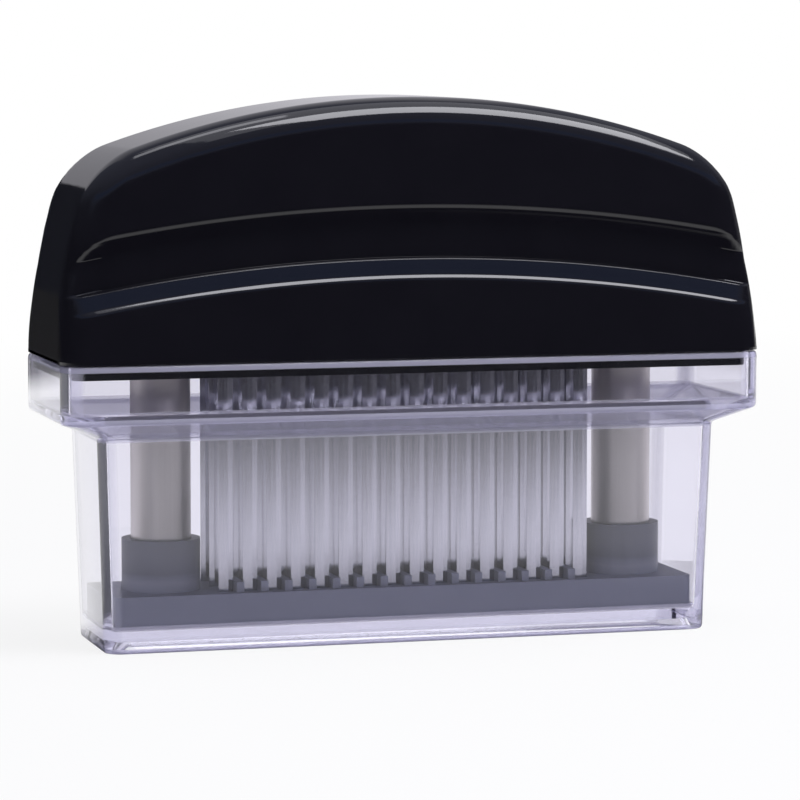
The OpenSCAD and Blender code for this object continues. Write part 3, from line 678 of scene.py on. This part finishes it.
# Martensitic stainless strip, hardened and fine ground along its length: a bright,
# cool grey that mirrors its surroundings as long soft streaks.
blade_steel = new_material("stainless_strip_ground")
place = add_node(blade_steel, "ShaderNodeTexCoord")
stretch = add_node(blade_steel, "ShaderNodeMapping", {"Scale": (1.0, 1.0, 0.02)},
                   {"Vector": (place, "Object")})
lines = add_node(blade_steel, "ShaderNodeTexNoise", {"Scale": 2600.0, "Detail": 3.0},
                 {"Vector": (stretch, "Vector")})           # grinding lines 0.4 mm wide
lines_bump = add_node(blade_steel, "ShaderNodeBump", {"Strength": 0.12, "Distance": 0.00003},
                      {"Height": (lines, "Fac")})
shade = add_node(blade_steel, "ShaderNodeMix", {"data_type": "RGBA", 6: linear("#C6C6D0"),
                                               7: linear("#DCDCE4")}, {0: (lines, "Fac")})
haze = add_node(blade_steel, "ShaderNodeMapRange", {"To Min": 0.12, "To Max": 0.2},
                {"Value": (lines, "Fac")})
body = add_node(blade_steel, "ShaderNodeBsdfPrincipled", {"Metallic": 1.0},
                {"Base Color": (shade, 2), "Roughness": (haze, "Result"),
                 "Normal": (lines_bump, "Normal")})
add_node(blade_steel, "ShaderNodeOutputMaterial", {}, {"Surface": (body, "BSDF")})

strip = blade_strip()
count = strip.shape[0]
blade_x = (np.arange(blade_cols) - (blade_cols - 1) / 2) * blade_pitch
for row_name, row in (("front", -1), ("middle", 0), ("rear", 1)):
    shift = np.stack([blade_x, 0 * blade_x + row * row_pitch, 0 * blade_x], -1)
    strips = strip[None] + shift[:, None, None]
    starts = np.arange(blade_cols)[:, None, None] * count * 8
    sides = (grid_faces(count, 8)[None] + starts).reshape(-1, 4)
    ends = np.concatenate([np.arange(8)[None, None, ::-1] + starts,
                           (count - 1) * 8 + np.arange(8)[None, None] + starts]).reshape(-1, 8)
    blades = make_piece("blade_row_stainless_" + row_name, strips, [sides, ends], crease=8)
    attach(blades, "head")
    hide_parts("blade_row_" + row_name)
    blades.data.materials.append(blade_steel)

# ---- Blade holders and retainer -------------------------------------------
# Three black ABS bars inside the housing hold the blades by their heads. A stainless
# plate screwed down over them keeps the heads in their pockets.
for row_name in ("front", "middle", "rear"):
    holder = finished_copy("blade_holder_" + row_name, "blade_holder_abs_" + row_name, 0.15)
    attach(holder, "head")
    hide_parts("blade_holder_" + row_name)
    holder.data.materials.append(textured_abs)

# Stainless sheet, cold rolled: a plain satin grey with streaks along the plate.
sheet_steel = new_material("stainless_sheet_satin")
place = add_node(sheet_steel, "ShaderNodeTexCoord")
stretch = add_node(sheet_steel, "ShaderNodeMapping", {"Scale": (0.02, 1.0, 1.0)},
                   {"Vector": (place, "Object")})
streaks = add_node(sheet_steel, "ShaderNodeTexNoise", {"Scale": 1200.0, "Detail": 3.0},
                   {"Vector": (stretch, "Vector")})         # rolling streaks 0.8 mm wide
shade = add_node(sheet_steel, "ShaderNodeMix", {"data_type": "RGBA", 6: linear("#B4B4B8"),
                                               7: linear("#C8C8CC")}, {0: (streaks, "Fac")})
haze = add_node(sheet_steel, "ShaderNodeMapRange", {"To Min": 0.28, "To Max": 0.42},
                {"Value": (streaks, "Fac")})
body = add_node(sheet_steel, "ShaderNodeBsdfPrincipled", {"Metallic": 1.0},
                {"Base Color": (shade, 2), "Roughness": (haze, "Result")})
add_node(sheet_steel, "ShaderNodeOutputMaterial", {}, {"Surface": (body, "BSDF")})
retainer = finished_copy("blade_retainer", "blade_retainer_stainless", 0.15)
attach(retainer, "head")
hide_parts("blade_retainer")
retainer.data.materials.append(sheet_steel)

# ---- Guard ----------------------------------------------------------------
# The sprung plate that lies on the meat: one grey nylon moulding with a slot for
# every blade, low ribs between the blades and a tower for each post, which is
# screwed fast from below.
guard = finished_copy("guard_plate", "guard_plate_nylon", 0.35)
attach(guard, "guard")
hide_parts("guard_plate")

# Nylon, injection moulded, slate grey: fine texture, soft sheen and faint flow clouds. The towers
# are given a painted shade, a darker slate than the plate, though they are the same moulding.
tower_shade_heights = (0.0135, 0.0155)       # heights in metres between which the shade changes
slate_nylon = new_material("nylon_slate_grey")
place = add_node(slate_nylon, "ShaderNodeTexCoord")
grain = add_node(slate_nylon, "ShaderNodeTexNoise", {"Scale": 2200.0, "Detail": 2.0},
                 {"Vector": (place, "Object")})             # mould texture 0.45 mm wide
grain_bump = add_node(slate_nylon, "ShaderNodeBump", {"Strength": 0.35, "Distance": 0.00005},
                      {"Height": (grain, "Fac")})
cloud = add_node(slate_nylon, "ShaderNodeTexNoise", {"Scale": 90.0, "Detail": 4.0},
                 {"Vector": (place, "Object")})             # flow clouds about 11 mm wide
shade = add_node(slate_nylon, "ShaderNodeMix", {"data_type": "RGBA", 6: linear("#717488"),
                                               7: linear("#7E8196")}, {0: (cloud, "Fac")})
parts = add_node(slate_nylon, "ShaderNodeSeparateXYZ", {}, {0: (place, "Object")})
tower = add_node(slate_nylon, "ShaderNodeMapRange", {"From Min": tower_shade_heights[0],
                                                       "From Max": tower_shade_heights[1]},
                 {"Value": (parts, "Z")})
# Painted shade: above these heights the towers are mixed toward a darker slate.
shade = add_node(slate_nylon, "ShaderNodeMix", {"data_type": "RGBA", 7: linear("#505267")},
                 {0: (tower, "Result"), 6: (shade, 2)})
sheen = add_node(slate_nylon, "ShaderNodeMapRange", {"To Min": 0.36, "To Max": 0.48},
                 {"Value": (cloud, "Fac")})
body = add_node(slate_nylon, "ShaderNodeBsdfPrincipled", {"IOR": 1.53},
                {"Base Color": (shade, 2), "Roughness": (sheen, "Result"),
                 "Normal": (grain_bump, "Normal")})
add_node(slate_nylon, "ShaderNodeOutputMaterial", {}, {"Surface": (body, "BSDF")})
guard.data.materials.append(slate_nylon)

# ---- Floor, backdrop and light --------------------------------------------
# A pale table and a white wall behind it, lit by three soft lamps from above. The
# room in front stays dim, so the black housing stays black.


def stage_plane(name, corners):
    """A flat rectangle through four points in metres."""
    mesh = bpy.data.meshes.new(name)
    mesh.from_pydata(corners, [], [(0, 1, 2, 3)])
    plane = bpy.data.objects.new(name, mesh)
    bpy.context.scene.collection.objects.link(plane)
    return plane


def ramped(material, *ramps):
    """The product of ramps. Each is the node and output that feed it, the two values
    between which it runs, and what it gives at them and beyond."""
    product = None
    for source, low, high, before, after in ramps:
        ramp = add_node(material, "ShaderNodeMapRange",
                        {"From Min": low, "From Max": high, "To Min": before, "To Max": after},
                        {"Value": source}), 0
        if product is not None:
            ramp = add_node(material, "ShaderNodeMath", {"operation": "MULTIPLY"},
                            {0: product, 1: ramp}), 0
        product = ramp
    return product


def in_gloss(material, ray, near):
    """1 for what gloss or metal mirrors: a ray that was reflected, and not only let
    through. Light turned inside the first clear wall, after two passes, still counts as
    seen where near is 1."""
    passes = add_node(material, "ShaderNodeMath", {"operation": "COMPARE", 1: 2.0, 2: 0.5},
                      {0: (ray, "Transmission Depth")})
    turned = add_node(material, "ShaderNodeMath", {"operation": "MULTIPLY"},
                      {0: (passes, 0), 1: near})
    glossy = add_node(material, "ShaderNodeMath", {"operation": "MINIMUM"},
                      {0: (ray, "Is Glossy Ray"), 1: (ray, "Glossy Depth")})
    return add_node(material, "ShaderNodeMath", {"operation": "SUBTRACT", "use_clamp": True},
                    {0: (glossy, 0), 1: (turned, 0)}), 0


floor = stage_plane("floor", [(-4, -4, 0), (4, -4, 0), (4, 4, 0), (-4, 4, 0)])
# A white table top. Straight on it shows its own white with the tool's shadow.
paper = new_material("table_white")
matt = add_node(paper, "ShaderNodeBsdfDiffuse", {"Color": linear("#F4F4F6")})
place = add_node(paper, "ShaderNodeTexCoord")
parts = add_node(paper, "ShaderNodeSeparateXYZ", {}, {0: (place, "Object")})
# How far a point lies from the tool, in metres along its depth and half of them along
# its length, since it is longer than deep.
scaled = add_node(paper, "ShaderNodeVectorMath", {"operation": "MULTIPLY", 1: (0.5, 1.0, 1.0)},
                  {0: (place, "Object")})
middle = add_node(paper, "ShaderNodeVectorMath", {"operation": "LENGTH"},
                  {0: (scaled, "Vector")}), "Value"
ray = add_node(paper, "ShaderNodeLightPath")
behind = ramped(paper, ((parts, "Y"), 0.0, 0.03, 0.0, 1.0))
close = ramped(paper, (middle, 0.55, 0.50, 0.0, 1.0))
close = add_node(paper, "ShaderNodeMath", {"operation": "MAXIMUM"}, {0: close, 1: behind}), 0
mirrored = in_gloss(paper, ray, close)
# Seen straight or through the clear wall, most of the white is the table's own.
seen = add_node(paper, "ShaderNodeMath", {"operation": "MAXIMUM"},
                {0: (ray, "Is Camera Ray"), 1: (ray, "Is Transmission Ray")})
share = ramped(paper, (middle, 0.15, 0.8, 0.85, 1.0))
own = add_node(paper, "ShaderNodeMath", {"operation": "MULTIPLY"}, {0: (seen, 0), 1: share})
# In front, gloss is shown a painted reflection, not the lit table: painted shade close to the tool,
# then white, then the dim room, painted a little brighter to the right than to the left.
near = ramped(paper, (middle, 0.07, 0.12, 0.0, 1.0))
fall = ramped(paper, (middle, 0.22, 0.67, 1.0, 0.1))
fall = add_node(paper, "ShaderNodeMath", {"operation": "POWER", 1: 3.5}, {0: fall})
front = add_node(paper, "ShaderNodeMath", {"operation": "MULTIPLY"}, {0: near, 1: (fall, 0)})
aside = add_node(paper, "ShaderNodeMath", {"operation": "DIVIDE"},
                 {0: (parts, "X"), 1: (parts, "Y")})
right = ramped(paper, ((aside, 0), 0.1, -0.6, 0.9, 1.0))
front = add_node(paper, "ShaderNodeMath", {"operation": "MULTIPLY"}, {0: (front, 0), 1: right})
# Behind, the painted reflection is white for the near part of the table and, on the right, for its
# far end, and dark between.
rear = ramped(paper, (middle, 0.58, 0.66, 0.9, 0.03))
painted_far_white = ramped(paper, (middle, 1.05, 1.15, 0.0, 1.0), ((parts, "X"), 0.0, 0.1, 0.0, 1.0))
rear = add_node(paper, "ShaderNodeMath", {"operation": "MAXIMUM"}, {0: rear, 1: painted_far_white})
sheen = add_node(paper, "ShaderNodeMix", {}, {0: behind, 2: (front, 0), 3: (rear, 0)})
strength = add_node(paper, "ShaderNodeMix", {2: 1.0}, {0: mirrored, 3: (sheen, 0)})
white = add_node(paper, "ShaderNodeEmission", {"Color": (1, 1, 1, 1)}, {"Strength": (strength, 0)})
most = add_node(paper, "ShaderNodeMath", {"operation": "MAXIMUM"}, {0: (own, 0), 1: mirrored})
both = add_node(paper, "ShaderNodeMixShader", {}, {0: (most, 0), 1: (matt, "BSDF"),
                                                  2: (white, "Emission")})
add_node(paper, "ShaderNodeOutputMaterial", {}, {"Surface": (both, "Shader")})
floor.data.materials.append(paper)

# Gloss is shown a painted reflection: a white wall in a part of the room behind the tool, which
# lights nothing else. The rest is dim, with a painted bluish glow high in front that only gloss
# sees.
world = bpy.data.worlds.new("studio")
bpy.context.scene.world = world
world.use_nodes = True
world.node_tree.nodes.clear()
ray = add_node(world, "ShaderNodeLightPath")
seen = add_node(world, "ShaderNodeMath", {"operation": "MAXIMUM"},
                {0: (ray, "Is Camera Ray"), 1: (ray, "Is Transmission Ray")})
toward = add_node(world, "ShaderNodeTexCoord")
axes = add_node(world, "ShaderNodeSeparateXYZ", {}, {0: (toward, "Generated")})
to_right, to_rear, upward = (axes, "X"), (axes, "Y"), (axes, "Z")
mirrored = in_gloss(world, ray, ramped(world, (to_rear, 0.0, 0.1, 0.0, 1.0)))
# The painted wall's lower edge, as mirrored, drops to the right. It ends at the left, is dimmer
# there, fades at the right and leaves the ceiling and the front dark.
foot = add_node(world, "ShaderNodeMath", {"operation": "MULTIPLY_ADD", 1: 0.5},
                {0: to_right, 2: upward})
painted_wall_reflection = ramped(world, ((foot, 0), 0.100, 0.112, 0.0, 1.0), (to_right, -0.33, -0.29, 0.0, 1.0),
              (to_right, 0.12, 0.30, 0.44, 0.82), (to_right, 0.30, 0.42, 1.0, 0.12),
              (to_rear, 0.25, 0.40, 0.0, 1.0), (upward, 0.76, 0.90, 1.0, 0.0))
most = add_node(world, "ShaderNodeMix", {}, {0: mirrored, 2: (seen, 0), 3: painted_wall_reflection})
# Painted reflection: a bluish glow high in front, seen only in gloss.
painted_front_glow = ramped(world, (to_rear, 0.0, -0.3, 0.0, 1.0), (upward, 0.25, 0.37, 0.0, 1.0),
              (upward, 0.46, 0.55, 1.0, 0.1))
tone = add_node(world, "ShaderNodeMix", {"data_type": "RGBA", 6: linear("#C8CFEA"),
                                         7: linear("#7B93C4")}, {0: painted_front_glow})
tone = add_node(world, "ShaderNodeMix", {"data_type": "RGBA", 6: linear("#E8EBF6")},
                {0: mirrored, 7: (tone, 2)})
level = add_node(world, "ShaderNodeMix", {3: 0.6},
                 {0: painted_front_glow, 2: ramped(world, (upward, 0.15, 0.9, 0.03, 0.45))})
level = add_node(world, "ShaderNodeMix", {2: 0.4}, {0: mirrored, 3: (level, 0)})
dim = add_node(world, "ShaderNodeBackground", {}, {"Color": (tone, 2), "Strength": (level, 0)})
white = add_node(world, "ShaderNodeMix", {"data_type": "RGBA", 6: (1, 1, 1, 1),
                                          7: linear("#F4F2FA")}, {0: mirrored})
bright = add_node(world, "ShaderNodeBackground", {"Strength": 1.0}, {"Color": (white, 2)})
both = add_node(world, "ShaderNodeMixShader", {}, {0: (most, 0), 1: (dim, "Background"),
                                                  2: (bright, "Background")})
add_node(world, "ShaderNodeOutputWorld", {}, {"Surface": (both, "Shader")})


def softbox(name, place, turn, width, height, radiance):
    """A rectangular area lamp in metres that looks straight down, turned so many degrees
    in plan. Its power is its radiance times its area times pi."""
    lamp = bpy.data.lights.new(name, "AREA")
    lamp.shape, lamp.size, lamp.size_y = "RECTANGLE", width, height
    lamp.energy = radiance * width * height * np.pi
    lamp.color = linear("#F6F6FC")[:3]
    holder = bpy.data.objects.new(name, lamp)
    bpy.context.scene.collection.objects.link(holder)
    holder.location = place
    holder.rotation_euler = (0, 0, np.radians(turn))


softbox("lamp_key", (0.43, -0.32, 1.06), 25, 0.80, 0.46, 7.0)
softbox("lamp_skirt", (0.38, -0.12, 1.12), 10, 1.00, 1.00, 1.0)
softbox("lamp_small", (-0.08, 0.04, 1.06), 0, 0.28, 0.18, 2.8)

bpy.context.scene.view_settings.view_transform = "Standard"
